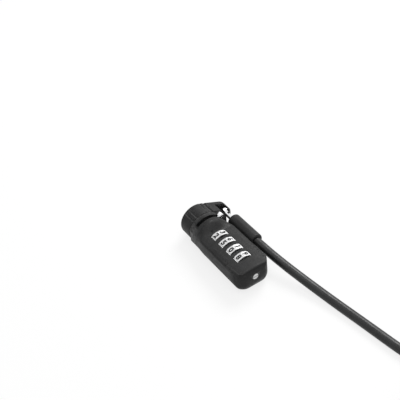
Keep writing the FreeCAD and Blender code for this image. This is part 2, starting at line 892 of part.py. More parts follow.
def make_wheel(number, x):
    """Ten-sided number wheel, one edge on top, with a shallow groove along each edge."""
    half = s.wheel_width / 2
    side = 360 / WHEEL_SIDES
    corner = s.wheel_flat / math.cos(math.radians(side / 2))
    points = []
    for k in range(WHEEL_SIDES + 1):
        angle = math.radians(90 + side * k)
        points.append(V(x - half, corner * math.cos(angle), corner * math.sin(angle)))
    prism = Part.Face(Part.makePolygon(points)).extrude(V(s.wheel_width, 0, 0))
    blank = rod(s.wheel_radius, (x - half, x + half))
    blank = blank.makeChamfer(s.wheel_groove, [e for e in blank.Edges if len(e.Vertexes) == 1])
    body = prism.common(blank)
    cuts = [rod(s.wheel_bore, (x - half - 1, x + half + 1))]
    for k in range(WHEEL_SIDES):
        groove = rod(s.wheel_flute, (x - half - 1, x + half + 1), z=s.wheel_radius)
        groove.rotate(V(0, 0, 0), X_AXIS, side * k)
        cuts.append(groove)
    return feature(f"number_wheel_{number}", body.cut(cuts).removeSplitter())


def make_clutch_sleeve(number, x):
    """Sleeve inside a wheel: a flange with one gate, between two pockets for the shaft's fin."""
    low, high = x - s.sleeve_half, x + s.sleeve_half
    sleeve = rod(s.sleeve_radius, (low, high))
    gate = box(
        (x - s.flange_half, x + s.flange_half),
        (-s.gate_width / 2, s.gate_width / 2),
        (0.0, s.sleeve_pocket),
    )
    cuts = [
        rod(s.sleeve_pocket, (low - 1, x - s.flange_half)),
        rod(s.sleeve_pocket, (x + s.flange_half, high + 1)),
        rod(s.flange_bore, (low, high)),
        gate,
    ]
    return feature(f"clutch_sleeve_{number}", sleeve.cut(cuts).removeSplitter())


def make_reset_screw():
    """Slotted head in the tail and the shank through the tail wall."""
    corners = [
        ("screw_face", "0"),
        ("screw_face", "screw_radius - part_gap"),
        ("screw_face + part_gap", "screw_radius"),
        ("head_seat", "screw_radius"),
        ("head_seat", "screw_shank"),
        ("cam_rear", "screw_shank"),
        ("cam_rear", "screw_shank - part_gap"),
        ("cam_front", "screw_shank - part_gap"),
        ("cam_front", "0"),
    ]
    body = turned("reset_screw", corners)
    slot = sketch_on(body, "YZ_Plane", offset="screw_face")
    wide = "screw_radius + part_gap"
    high = "driver_slot / 2"
    outline(slot, [(f"-({wide})", f"-{high}"), (wide, f"-{high}"), (wide, high), (f"-({wide})", high)])
    pad(body, slot, "screw_thickness * 0.6", cut=True, back=True)
    return body


def make_reset_cam():
    """Small cam on the inner end of the reset screw."""
    disc = rod(s.cam_radius, (s.cam_rear, s.cam_front))
    flat = box((s.cam_rear - 1, s.cam_front + 1), (-5, 5), (s.screw_shank + 0.6, 5))
    bore = rod(s.screw_shank - s.part_gap + 0.02, (s.cam_rear - 1, s.cam_front + 1))
    return feature("reset_cam", disc.cut([flat, bore]).removeSplitter())


def make_collar():
    """Turning collar with the clevis ear, counterbored for the clip, with grip grooves."""
    rear, front = s.collar_rear, s.collar_front
    length = front - rear
    drum = rod(s.collar_radius, (rear, front))
    ear = teardrop(rear, length)
    body = fuse([drum, ear])
    rim = [e for e in body.Edges if e.BoundBox.XLength < 1e-6]
    body = body.makeFillet(s.collar_round, rim)
    bores = [
        rod(s.collar_bore, (rear - 1, front + 1)),
        rod(s.counterbore, (s.counterbore_rear, front + 1)),
    ]
    low, high = s.crimp_axis - s.notch_half, s.crimp_axis + s.notch_half
    notch = box((rear - 1, s.notch_front), (low, high), (-10, 10))
    pin_hole = Part.makeCylinder(
        s.hinge_radius + 0.02, pin_length(), V(s.hinge_place, s.ear_tip - 1, s.hinge_level), Y_AXIS
    )
    grooves = []
    for degrees in GRIP_ANGLES:
        groove = rod(GRIP_RADIUS, (rear - 1, front + 1), z=s.collar_radius + GRIP_RADIUS - GRIP_DEPTH)
        groove.rotate(V(0, 0, 0), X_AXIS, degrees)
        grooves.append(groove)
    return feature("swivel_collar", body.cut(bores + [notch, pin_hole] + grooves).removeSplitter())


GRIP_ANGLES = (-38, -22, 22, 38, 100, 116, 132, 164, 180, 196)
GRIP_RADIUS = 0.9
GRIP_DEPTH = 0.45


def teardrop(rear, length):
    """The ear: straight flanks from the collar's circle to a smaller round end."""
    reach = math.hypot(s.ear_centre, s.hinge_level)
    towards = math.atan2(s.hinge_level, s.ear_centre)
    lean = math.acos((s.collar_radius - s.ear_radius) / reach)
    points = []
    for centre, radius, signs in (
        ((0.0, 0.0), s.collar_radius, (1, -1)),
        ((s.ear_centre, s.hinge_level), s.ear_radius, (-1, 1)),
    ):
        for sign in signs:
            angle = towards + sign * lean
            points.append(V(rear, centre[0] + radius * math.cos(angle), centre[1] + radius * math.sin(angle)))
    flank = Part.Face(Part.makePolygon(points + points[:1])).extrude(V(length, 0, 0))
    end = rod(s.ear_radius, (rear, rear + length), s.ear_centre, s.hinge_level)
    return fuse([flank, end])


def pin_length():
    """From just outside the ear's tip to the inner cheek, short of the collar's bore."""
    inner = s.crimp_axis + s.notch_half + s.cheek
    return inner - s.ear_tip + 1


def make_hinge_pin():
    """Pin of the cable's eye, its end flush with the ear."""
    pin = doc.addObject("Part::Cylinder", "hinge_pin_solid")
    pin.Label = "hinge_pin"
    pin.setExpression("Radius", bound("hinge_radius"))
    pin.setExpression("Height", bound("2 * (notch_half + cheek) - 2 * part_gap"))
    pin.Placement = FreeCAD.Placement(V(0, 0, 0), FreeCAD.Rotation(X_AXIS, -90))
    pin.setExpression("Placement.Base.x", bound("hinge_place"))
    pin.setExpression("Placement.Base.y", bound("ear_tip + part_gap"))
    pin.setExpression("Placement.Base.z", bound("hinge_level"))
    return pin


def make_cable_link():
    """Chrome eye on the hinge pin, with the shank that enters the crimp sleeve."""
    y, z = s.crimp_axis, s.hinge_level
    half = s.eye_thickness / 2
    eye = Part.makeCylinder(s.eye_radius, s.eye_thickness, V(s.hinge_place, y - half, z), Y_AXIS)
    end = s.crimp_front - s.crimp_lip - s.link_insert
    shank = rod(s.link_shank, (end, s.hinge_place), y, z)
    flat = box((end, s.hinge_place), (y - half, y + half), (z - 5, z + 5))
    waist = rod(s.link_shank, (s.hinge_place - s.eye_radius - 1.5, s.hinge_place), y, z).common(flat)
    shank = shank.cut(box((s.hinge_place - s.eye_radius - 1.5, s.hinge_place), (y - 9, y + 9), (-9, 9)))
    hole = Part.makeCylinder(
        s.hinge_radius + s.running_fit, 2 * s.eye_thickness, V(s.hinge_place, y - s.eye_thickness, z), Y_AXIS
    )
    return feature("cable_link", fuse([eye, waist, shank]).cut(hole).removeSplitter())


def make_cable_ferrule():
    """Ferrule inside the crimp sleeve that joins the link's shank and the cable."""
    y, z = s.crimp_axis, s.hinge_level
    front = s.crimp_front - s.crimp_lip - s.part_gap
    rear = s.crimp_rear + s.cable_insert
    outer = s.crimp_radius - s.crimp_wall - s.part_gap / 2
    body = rod(outer, (rear, front), y, z)
    bore = rod(s.link_shank + 0.02, (s.crimp_front - s.crimp_lip - s.link_insert, front + 1), y, z)
    return feature("cable_ferrule", body.cut(bore))


def make_crimp_sleeve():
    """Black sleeve over the joint, rounded at both ends."""
    y, z = s.crimp_axis, s.hinge_level
    body = rod(s.crimp_radius, (s.crimp_rear, s.crimp_front), y, z)
    body = body.makeFillet(s.crimp_round, [e for e in body.Edges if len(e.Vertexes) == 1])
    lip_rear = s.crimp_rear + s.cable_insert
    cuts = [
        rod(s.crimp_radius - s.crimp_wall, (lip_rear, s.crimp_front - s.crimp_lip), y, z),
        rod(s.link_shank + s.part_gap, (lip_rear, s.crimp_front + 1), y, z),
        rod(s.cable_diameter / 2 + s.part_gap / 2, (s.crimp_rear - 1, lip_rear), y, z),
    ]
    return feature("crimp_sleeve", body.cut(cuts).removeSplitter())


# Cable: a tube of straight runs and tangent arcs, the hank, and the end loop


ARC_SHARE = 0.45


def tube_path(points, name):
    """Straight runs joined by arcs, each arc using its share of the runs. Prints the arcs' radii."""
    points = [V(*p) for p in points]
    edges = []
    start = points[0]
    radii = []
    for before, corner, after in zip(points, points[1:], points[2:]):
        back, ahead = (before - corner), (after - corner)
        shorter = min(back.Length, ahead.Length)
        turn = math.pi - back.getAngle(ahead)
        touch = ARC_SHARE * shorter
        radius = touch / math.tan(turn / 2)
        radii.append(radius)
        first = corner + back.normalize() * touch
        last = corner + ahead.normalize() * touch
        inward = ((first + last) * 0.5 - corner).normalize()
        middle = corner + inward * (radius / math.cos(turn / 2) - radius)
        edges.append(Part.LineSegment(start, first).toShape())
        edges.append(Part.Arc(first, middle, last).toShape())
        start = last
    edges.append(Part.LineSegment(start, points[-1]).toShape())
    print(name, "radii", [round(r, 1) for r in radii])
    return Part.Wire(edges)


def tube(path, name):
    """Sweeps the cable's section along a path and compares the volume with section times length."""
    edges = path.OrderedEdges
    first = edges[0]
    start = first.Vertexes[0].Point
    direction = first.tangentAt(first.FirstParameter)
    radius = s.cable_diameter / 2
    profile = Part.Wire(Part.Circle(start, direction, radius).toShape())
    solid = path.makePipeShell([profile], True, False)
    share = solid.Volume / (math.pi * radius**2 * path.Length)
    print(name, "length", round(path.Length, 1), "volume share", round(share, 4))
    return solid


def climb(start, end, heading):
    """Two arcs from one level to another that start and end with the same heading."""
    gap = end - start
    reach = gap.dot(gap) / (4 * gap.dot(heading))
    near, far = start + heading * reach, end - heading * reach
    join = (near + far) * 0.5
    return [through(start, near, join), through(join, far, end)]


def through(start, corner, end):
    """The arc that touches start-corner at its start and corner-end at its end."""
    chord = end - start
    middle = (start + end) * 0.5
    rise = corner - middle
    half_turn = math.atan2(rise.Length, chord.Length / 2)
    sagitta = chord.Length / 2 * math.tan(half_turn / 2)
    return Part.Arc(start, middle + rise.normalize() * sagitta, end).toShape()


def hank_point(along, across, layer):
    """A point of the hank: along its runs from the near end, across from its middle, and a layer."""
    near = V(*LEAD_ROUTE[-1])
    top = 1 + max(run[2] for run in HANK_RUNS)
    rise = s.turn_pitch * min(layer, top - 1) + s.loop_rise * max(layer - top + 1, 0)
    return near + V(-along, s.hank_half - across, rise)


def fold(end, first, second, layer):
    """A half turn at one end of the hank, as two quarters."""
    middle = (first + second) / 2
    radius = first - middle
    out = abs(radius) if end > 0 else -abs(radius)
    share = math.sqrt(0.5)
    start, near, tip, far, finish = (
        hank_point(end + out * ahead, middle + radius * aside, layer)
        for ahead, aside in ((0, 1), (share, share), (1, 0), (share, -share), (0, -1))
    )
    return [Part.Arc(start, near, tip).toShape(), Part.Arc(tip, far, finish).toShape()]


def lane(side, number):
    return side * (s.hank_half - s.turn_pitch * number)


def hank_path():
    """The hank's runs and folds: each layer fills its lanes, and its last run climbs to the next."""
    edges = []
    for k, (side, number, low, high) in enumerate(HANK_RUNS):
        ends = (0.0, s.hank_run) if k % 2 == 0 else (s.hank_run, 0.0)
        start = hank_point(ends[0], lane(side, number), low)
        finish = hank_point(ends[1], lane(side, number), high)
        if low == high:
            edges.append(Part.LineSegment(start, finish).toShape())
        else:
            edges += climb(start, finish, V(ends[0] - ends[1], 0, 0).normalize())
        if k + 1 < len(HANK_RUNS):
            following = HANK_RUNS[k + 1]
            edges += fold(ends[1], lane(side, number), lane(*following[:2]), high)
    return Part.Wire(edges)


def least_gap(path, name):
    """Prints the least gap between the tube's turns, measured on points of its centreline."""
    step = 2.0
    points = path.discretize(Distance=step)
    skip = int(3 * math.pi * s.cable_diameter / step)
    least = min(
        (points[i] - points[j]).Length
        for i in range(len(points))
        for j in range(i + skip, len(points))
    )
    print(name, "least gap to itself", round(least - s.cable_diameter, 2))


def make_cable():
    lead_path = tube_path(LEAD_ROUTE, "cable_lead")
    feature("cable_lead", tube(lead_path, "cable_lead"))
    path = hank_path()
    feature("cable_hank", tube(path, "cable_hank"))
    side, number, _, top = HANK_RUNS[-1]
    tail = fold(0.0, lane(side, number), lane(1, 0), top)
    barrel_start = hank_point(s.part_gap, lane(1, 0), top)
    tail.append(Part.LineSegment(hank_point(0.0, lane(1, 0), top), barrel_start).toShape())
    tail_path = Part.Wire(tail)
    feature("cable_tail", tube(tail_path, "cable_tail"))
    least_gap(Part.Wire(lead_path.OrderedEdges + path.OrderedEdges + tail_path.OrderedEdges), "cable")
    make_end_loop(barrel_start)
    make_tie()


def make_end_loop(start):
    """Crimp barrel with two lanes side by side, and the loop of cable that lies on the hank."""
    place = FreeCAD.Placement(start, FreeCAD.Rotation(Z_AXIS, 180))
    apart = 2 * s.lane_half
    radius = s.cable_diameter / 2 + s.barrel_wall
    halves = [
        Part.makeCylinder(radius, s.barrel_length, V(0, y, 0), X_AXIS) for y in (0, -apart)
    ]
    web = box((0, s.barrel_length), (-apart, 0), (-radius, radius))
    barrel = fuse(halves + [web])
    rims = [e for e in barrel.Edges if e.BoundBox.XLength < 1e-6]
    barrel = barrel.makeFillet(s.barrel_wall / 2, rims)
    barrel.Placement = place
    feature("loop_ferrule", barrel)

    # The outer lane runs straight into the loop, and a counter bend brings it back to the other lane.
    ring_radius = (s.loop_inner + s.cable_diameter) / 2
    bend = s.loop_bend
    across = ring_radius - bend - apart
    reach = math.sqrt((ring_radius + bend) ** 2 - across**2)
    centre = V(reach, -ring_radius, 0)
    counter = V(0, -apart - bend, 0)
    touch = centre + (counter - centre) * (ring_radius / (ring_radius + bend))
    far = centre + V(ring_radius, 0, 0)
    low = centre - V(0, ring_radius, 0)
    turned_on = math.atan2(touch.y - centre.y, touch.x - centre.x) % (2 * math.pi)
    between = (turned_on + 1.5 * math.pi) / 2
    last = math.atan2(touch.y - counter.y, touch.x - counter.x)
    half_way = (last + math.pi / 2) / 2
    edges = [
        Part.LineSegment(V(0, 0, 0), V(reach, 0, 0)).toShape(),
        Part.Arc(V(reach, 0, 0), rim_point(centre, ring_radius, math.pi / 4), far).toShape(),
        Part.Arc(far, rim_point(centre, ring_radius, -math.pi / 4), low).toShape(),
        Part.Arc(low, rim_point(centre, ring_radius, between), touch).toShape(),
        Part.Arc(touch, rim_point(counter, bend, half_way), V(0, -apart, 0)).toShape(),
    ]
    path = Part.Wire(edges)
    path.translate(V(s.barrel_length, 0, 0))
    solid = tube(path, "anchor_loop")
    solid.Placement = place
    feature("anchor_loop", solid)


def rim_point(centre, radius, angle):
    return centre + V(math.cos(angle), math.sin(angle), 0) * radius


def make_tie():
    """Strap round one side of the hank, half-way along it, as high as the last run's climb there."""
    half = s.cable_diameter / 2 + s.part_gap
    middle = s.hank_run / 2
    top = max(run[3] for run in HANK_RUNS)
    still_ahead = 2 * ((s.hank_run - s.tie_width) / (2 * s.hank_run)) ** 2
    up = half - still_ahead * s.loop_rise
    corners = [
        hank_point(middle - s.tie_width / 2, lane(-1, 0) - half, 0) - V(0, 0, half),
        hank_point(middle + s.tie_width / 2, lane(-1, 1) + half, top) + V(0, 0, up),
    ]
    sides = [(corners[0][k], corners[1][k]) for k in range(3)]
    room = box(*sides)
    grown = [(min(pair) - s.tie_thickness, max(pair) + s.tie_thickness) for pair in sides[1:]]
    strap = box(sides[0], *grown)
    inner = s.cable_diameter / 2
    strap = strap.makeFillet(inner + s.tie_thickness, lengthwise(strap))
    room = room.makeFillet(inner, lengthwise(room))
    feature("cable_tie", strap.cut(room))


def lengthwise(shape):
    """The edges of a block that run along X."""
    return [e for e in shape.Edges if e.BoundBox.XLength > 1]


def build():
    outer = outer_form()
    make_housing(outer)
    make_cover(outer)
    make_cover_screws()
    make_detent_spring()
    make_collar_clip()
    make_lock_nose()
    make_nose_pad()
    make_tail_bush()
    make_shaft_spring()
    make_t_bar()
    make_turn_pin()
    make_code_shaft()
    for number, x in enumerate(wheel_places(), start=1):
        make_wheel(number, x)
        make_clutch_sleeve(number, x)
    make_reset_screw()
    make_reset_cam()
    make_collar()
    make_hinge_pin()
    make_cable_link()
    make_cable_ferrule()
    make_crimp_sleeve()
    make_cable()


NODES = [
    "housing", "base_cover", "cover_screws", "detent_spring", "collar_clip", "lock_nose", "nose_pad",
    "tail_bush", "shaft_spring", "t_bar", "turn_pin", "code_shaft",
    "number_wheel_1", "number_wheel_2", "number_wheel_3", "number_wheel_4",
    "clutch_sleeve_1", "clutch_sleeve_2", "clutch_sleeve_3", "clutch_sleeve_4",
    "reset_screw", "reset_cam", "swivel_collar", "hinge_pin", "cable_link", "cable_ferrule",
    "crimp_sleeve", "cable_lead", "cable_hank", "cable_tail", "loop_ferrule", "anchor_loop",
    "cable_tie",
]


def write_parts():
    """Checks every object of the document, then writes one file for each sub-part."""
    doc.recompute()
    for thing in doc.Objects:
        if "Invalid" in thing.State or "Error" in thing.State:
            raise RuntimeError(f"{thing.Label} failed: {thing.State}")
    pieces = [doc.getObjectsByLabel(name)[0] for name in NODES]
    for piece in pieces:
        if piece.Shape.isNull() or not piece.Shape.isValid():
            raise RuntimeError(f"{piece.Label} has no valid shape")
    os.makedirs("parts", exist_ok=True)
    for piece in pieces:
        piece.Shape.exportStep(f"parts/{piece.Label}.step")
        solids = len(piece.Shape.Solids)
        print(piece.Label, "solids", solids, "volume", round(piece.Shape.Volume, 2))


build()
write_parts()
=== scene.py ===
import json
import math

import bmesh
import bpy
from mathutils import Matrix, Quaternion, Vector
from mathutils.bvhtree import BVHTree


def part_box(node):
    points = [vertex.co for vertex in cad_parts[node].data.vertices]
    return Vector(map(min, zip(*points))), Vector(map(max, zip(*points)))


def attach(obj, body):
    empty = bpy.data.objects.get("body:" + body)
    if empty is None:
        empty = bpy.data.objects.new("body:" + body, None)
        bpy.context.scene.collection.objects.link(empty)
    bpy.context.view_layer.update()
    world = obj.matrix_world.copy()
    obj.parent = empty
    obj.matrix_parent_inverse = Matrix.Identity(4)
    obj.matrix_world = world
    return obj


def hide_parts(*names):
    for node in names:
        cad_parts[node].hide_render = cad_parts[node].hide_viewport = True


# Laptop cable lock on a pale table. The lock's axis is X with the nose at X = 0, the cable's side is
# -Y, and Z is up. Lengths written with MM are in millimetres.

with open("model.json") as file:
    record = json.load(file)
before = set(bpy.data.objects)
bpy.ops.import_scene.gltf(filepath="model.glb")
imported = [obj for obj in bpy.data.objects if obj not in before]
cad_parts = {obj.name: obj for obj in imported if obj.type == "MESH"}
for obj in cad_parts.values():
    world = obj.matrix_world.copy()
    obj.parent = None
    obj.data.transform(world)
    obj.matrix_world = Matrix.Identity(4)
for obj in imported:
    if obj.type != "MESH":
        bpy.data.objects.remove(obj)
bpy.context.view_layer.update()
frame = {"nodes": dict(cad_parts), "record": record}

MM = 0.001

# Camera: where it stands, the point of the table it looks at, and its tilt
CAMERA_EYE = Vector((-322.95, 168.96, 328.54)) * MM
CAMERA_AIM = Vector((21.56, -17.22, -10.6)) * MM
CAMERA_ROLL = math.radians(-7.42)
CAMERA_LENS = 71.87
CAMERA_SENSOR = 36.0
TABLE_LEVEL = -10.6 * MM

# Cable: its free run out of the sleeve down to the table and to the hank
CABLE = 5.5 * MM
CABLE_LENGTH = 1.82
LEAD = [
    (-35.0, -17.4, -0.5),
    (-50.0, -17.4, -0.5),
    (-67.0, -20.0, -3.2),
    (-84.0, -23.6, -6.3),
    (-102.0, -26.6, -7.85),
    (-124.0, -29.4, -7.85),
    (-148.0, -32.2, -7.85),
    (-171.0, -36.4, -7.3),
    (-188.0, -39.1, -6.75),
    (-203.5, -39.1, -6.75),
]
# Hank: half its width, the straight part of its runs, the pitch of lanes and layers, the last rise
HANK_HALF = 23.5
HANK_RUN = 57.5
TURN_PITCH = 5.92
LOOP_RISE = 6.75
TOP_LAYER = 4
FOLD_POINTS = 8
# Its runs: the side, the lane counted from outside, and the layer where the run ends
HANK_RUNS = [
    (1, 0, 0),
    (-1, 0, 0),
    (1, 1, 0),
    (-1, 1, 1),
    (1, 1, 1),
    (-1, 0, 1),
    (1, 0, 2),
    (-1, 0, 2),
    (1, 1, 2),
    (-1, 1, 3),
    (1, 1, 3),
    (-1, 0, 4),
]
# End loop: the crimp barrel's length, the cable's start in it, its second lane, the bend and the ring
BARREL_LENGTH = 18.0
BARREL_START = 4.0
SECOND_LANE = 6.0
LOOP_BEND = 22.0
LOOP_RADIUS = 19.75
RING_POINTS = 9
BEND_POINTS = 3

# Number wheels: their places along the lock, the facets' distance from the axis, and what they show
WHEEL_PLACES = (-28.9, -36.4, -43.9, -51.4)
WHEEL_FLAT = 7.35
WHEEL_FACETS = 10
SHOWN = (2, 5, 0, 8)
# Figures: their height and depth, what is added to the font's strokes, and their sharp edges' angle
DIGIT_HEIGHT = 3.6
DIGIT_DEPTH = 0.06
DIGIT_WEIGHT = 0.045
DIGIT_SHARP = 20.0

# Turn pin's cap: its place, angle to the right of the top, radius, and distances from the axis
PIN_PLACE = -16.0
PIN_ANGLE = math.radians(50)
PIN_CAP_RADIUS = 1.6
PIN_CAP_LOW = 11.0
PIN_CAP_TOP = 13.4
# Its lower chamfer, its upper rounding with the point half-way round, and its crown
PIN_CAP_CHAMFER = 0.15
PIN_CAP_ROUND = 0.35
PIN_CAP_HALFWAY = 0.12
PIN_CAP_CROWN = 0.05
# Cable link: the hinge, and its eye's rim with the rim's chamfer
HINGE = (-7.8, -17.4, -0.5)
EYE_INNER = 2.4
EYE_RIM = 2.85
EYE_WIDTH = 2.6
EYE_CHAMFER = 0.3
# Shoulder ring ahead of the sleeve: its ends, its radii inside, at its edges and outside, its chamfer
NECK_RING = (-15.7, -16.9)
NECK_INNER = 1.4
NECK_EDGE = 2.1
NECK_OUTER = 2.4
NECK_CHAMFER = 0.25
# Index mark ahead of the first wheel: its place, its length, its width, and its tip's share of the width
MARK_PLACE = (-24.8, 2.4)
MARK_LENGTH = 1.8
MARK_WIDTH = 1.7
MARK_TIP = 0.15
# Its cells each way, its height over the case, its thickness, and the level that it is dropped from
MARK_CELLS = 6
MARK_LIFT = 0.03
MARK_DEPTH = 0.2
ABOVE_CASE = 30.0
# Strap round the hank: its thickness, corners and rims
TIE_THICKNESS = 1.0
TIE_ROUND = 3.3
TIE_RIM = 0.25
# Its free end: the inset, the distance out as a share of the thickness, the height and the length
TIE_TAB_INSET = 1.5
TIE_TAB_OUT = 0.6
TIE_TAB_HEIGHT = 5.0
TIE_TAB_LENGTH = 16.0
# Strands under the cable's jacket: how many, and how many metres one runs for a full turn
STRANDS = 6
STRAND_LAY = 0.03
# Height of the lathe's marks on bare metal
LATHE_DEPTH = 0.01

# Case: the tail's block with its corners and rims, the head's narrower block, and how far each carves
TAIL_BLOCK = ((-64.2, -48.0), (-11.8, 11.8), (-9.8, 6.3))
TAIL_REACH = ((-66.0, -50.0), (-14.0, 14.0), (-12.0, 9.0))
TAIL_ROUND = 8.0
LOWER_RIM = 6.0
UPPER_RIM = 1.0
HEAD_BLOCK = ((-18.0, -9.0), (-10.5, 10.5), (-10.2, 7.0))
HEAD_REACH = ((-16.0, -11.0), (-14.0, 14.0), (-12.0, 5.0))
HEAD_ROUND = 4.0
# Ear of the collar: where its rounding starts and ends, its middle, and the cut beside the eye
EAR_START = -16.2
EAR_REACH = 5.6
EAR_MIDDLE = -6.4
EYE_CUT = ((-12.6, -4.6), (-15.95, -12.6), (1.0, 8.0))
EYE_CUT_ROUND = 0.9
# Carved pieces: their corners closer than this are one, and edges sharper than this angle stay sharp
MERGED = 0.002
CARVED_SHARP = 32.0
# Distances that count as nothing: between two corners, and between an edge and a block's face
CLOSE = 0.001
NEAR_FACE = 0.01
# Steps of a full turn in the turned pieces
TURN_STEPS = 48

# Light: how much of the table's white is its own, the room's light, and the lamps
TABLE_GLOW = 0.8
ROOM_LIGHT = 0.4
LIGHTS = [
    ("window", (0.25, -0.65, 0.85), (-0.03, 0, 0), 0.6, 9.0),
    ("ceiling", (-0.35, 0.1, 1.1), (-0.03, 0, 0), 1.0, 4.5),
]


def add_object(name, data):
    piece = bpy.data.objects.new(name, data)
    bpy.context.scene.collection.objects.link(piece)
    return piece


# Camera


def set_camera():
    data = bpy.data.cameras.new("view")
    data.lens = CAMERA_LENS
    data.sensor_fit = "HORIZONTAL"
    data.sensor_width = CAMERA_SENSOR
    data.clip_start = 0.01
    view = add_object("view", data)
    view.location = CAMERA_EYE
    look = (CAMERA_AIM - CAMERA_EYE).to_track_quat("-Z", "Y")
    view.rotation_mode = "QUATERNION"
    view.rotation_quaternion = look @ Quaternion((0, 0, 1), CAMERA_ROLL)
    bpy.context.scene.camera = view


set_camera()


# Cable


def lane(side, number):
    return side * (HANK_HALF - TURN_PITCH * number)


def hank_point(along, across, layer):
    """A point of the hank: along its runs from the near end, across from its middle, and a layer."""
    rise = TURN_PITCH * min(layer, TOP_LAYER - 1) + LOOP_RISE * max(layer - TOP_LAYER + 1, 0)
    return Vector(LEAD[-1]) + Vector((-along, HANK_HALF - across, rise))


def fold_points(end, first, second, layer):
    """A half turn at one end of the hank, from one lane to another."""
    middle = (first + second) / 2
    radius = first - middle
    step = math.pi / FOLD_POINTS
    reach = 1 / math.cos(step / 2)
    out = math.copysign(abs(radius), end - HANK_RUN / 2) * reach
    places = []
    for k in range(FOLD_POINTS):
        angle = (k + 0.5) * step
        aside = middle + radius * reach * math.cos(angle)
        places.append(hank_point(end + out * math.sin(angle), aside, layer))
    return places


def hank_route():
    places = []
    lanes = [lane(side, number) for side, number, _ in HANK_RUNS] + [lane(1, 0)]
    for k, (_, _, layer) in enumerate(HANK_RUNS):
        end = HANK_RUN if k % 2 == 0 else 0.0
        places += fold_points(end, lanes[k], lanes[k + 1], layer)
    return places


def arc_points(centre, radius, first, last, count):
    """Points round an arc that the smooth line touches half-way between them."""
    step = (last - first) / count
    reach = radius / math.cos(step / 2)
    angles = [first + (k + 0.5) * step for k in range(count)]
    return [(centre[0] + reach * math.cos(a), centre[1] + reach * math.sin(a)) for a in angles]


def loop_route(start):
    """Through the crimp barrel, round the end loop and back into the barrel's second lane."""
    aside = LOOP_RADIUS - LOOP_BEND - SECOND_LANE
    reach = math.sqrt((LOOP_RADIUS + LOOP_BEND) ** 2 - aside**2)
    centre = (BARREL_LENGTH + reach, -LOOP_RADIUS)
    bend_centre = (BARREL_LENGTH, -SECOND_LANE - LOOP_BEND)
    lean = math.atan2(-aside, reach)
    places = [(BARREL_START, 0.0), (BARREL_LENGTH, 0.0)]
    places += arc_points(centre, LOOP_RADIUS, math.pi / 2, lean - math.pi, RING_POINTS)
    places += arc_points(bend_centre, LOOP_BEND, lean, math.pi / 2, BEND_POINTS)
    places += [(BARREL_LENGTH, -SECOND_LANE), (BARREL_START, -SECOND_LANE)]
    return [start + Vector((-along, -across, 0)) for along, across in places]


def cable_route():
    start = hank_point(0.0, lane(1, 0), TOP_LAYER)
    places = [Vector(place) for place in LEAD] + hank_route() + loop_route(start)
    return [place * MM for place in places]


def make_cable():
    curve = bpy.data.curves.new("cable", "CURVE")
    curve.dimensions = "3D"
    curve.bevel_depth = 1.0
    curve.bevel_resolution = 5
    curve.resolution_u = 6
    curve.use_fill_caps = True
    spline = curve.splines.new("NURBS")
    route = cable_route()
    spline.points.add(len(route) - 1)
    for point, place in zip(spline.points, route):
        point.co = (*place, 1)
        point.radius = CABLE / 2
    spline.order_u = 3
    spline.use_endpoint_u = True
    cable = add_object("cable", curve)
    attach(cable, "cable")
    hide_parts("cable_lead", "cable_hank", "cable_tail", "anchor_loop")
    return cable


# Shader groups


class Wiring:
    """Adds nodes to one node tree and joins them."""

    def __init__(self, tree):
        self.tree = tree

    def feed(self, socket, value):
        if isinstance(value, bpy.types.NodeSocket):
            self.tree.links.new(value, socket)
        else:
            socket.default_value = value

    def add(self, kind, inputs=None, **settings):
        node = self.tree.nodes.new(kind)
        for name, value in settings.items():
            setattr(node, name, value)
        for name, value in (inputs or {}).items():
            self.feed(node.inputs[name], value)
        return node

    def math(self, operation, first, second=0.0):
        node = self.add("ShaderNodeMath", operation=operation)
        self.feed(node.inputs[0], first)
        self.feed(node.inputs[1], second)
        return node.outputs[0]

    def mix(self, share, first, second):
        node = self.add("ShaderNodeMix", {0: share, 6: first, 7: second}, data_type="RGBA")
        return node.outputs[2]

    def spread(self, value, low, high, to_low=0.0, to_high=1.0):
        """Stretches the values from low to high over another range."""
        sockets = {"Value": value, "From Min": low, "From Max": high, "To Min": to_low, "To Max": to_high}
        return self.add("ShaderNodeMapRange", sockets).outputs["Result"]

    def place(self, stretch=(1, 1, 1)):
        """The piece's own coordinates, stretched."""
        coordinates = self.add("ShaderNodeTexCoord").outputs["Object"]
        return self.add("ShaderNodeMapping", {"Vector": coordinates, "Scale": stretch}).outputs["Vector"]

    def noise(self, place, scale, detail=2.0, distortion=0.0):
        sockets = {"Vector": place, "Scale": scale, "Detail": detail, "Distortion": distortion}
        return self.add("ShaderNodeTexNoise", sockets).outputs["Fac"]

    def group(self, tree, **inputs):
        return self.add("ShaderNodeGroup", inputs, node_tree=tree).outputs


def start_group(name, inputs, outputs):
    tree = bpy.data.node_groups.new(name, "ShaderNodeTree")
    for label, value in inputs.items():
        socket = tree.interface.new_socket(label, in_out="INPUT", socket_type="NodeSocketFloat")
        socket.default_value = value
    for label in outputs:
        tree.interface.new_socket(label, in_out="OUTPUT", socket_type="NodeSocketFloat")
    wiring = Wiring(tree)
    given = wiring.add("NodeGroupInput").outputs
    result = wiring.add("NodeGroupOutput").inputs
    return tree, wiring, given, result


def make_fine_grain():
    """Fine surface grain, and slow changes of tone."""
    tree, wiring, given, result = start_group("fine_grain", {"Scale": 5000.0}, ["Height", "Mottle"])
    place = wiring.place()
    wiring.feed(result["Height"], wiring.noise(place, given["Scale"], 3.0))
    slow = wiring.noise(place, wiring.math("MULTIPLY", given["Scale"], 0.03), 4.0, 0.6)
    wiring.feed(result["Mottle"], wiring.spread(slow, 0.35, 0.65))
    return tree


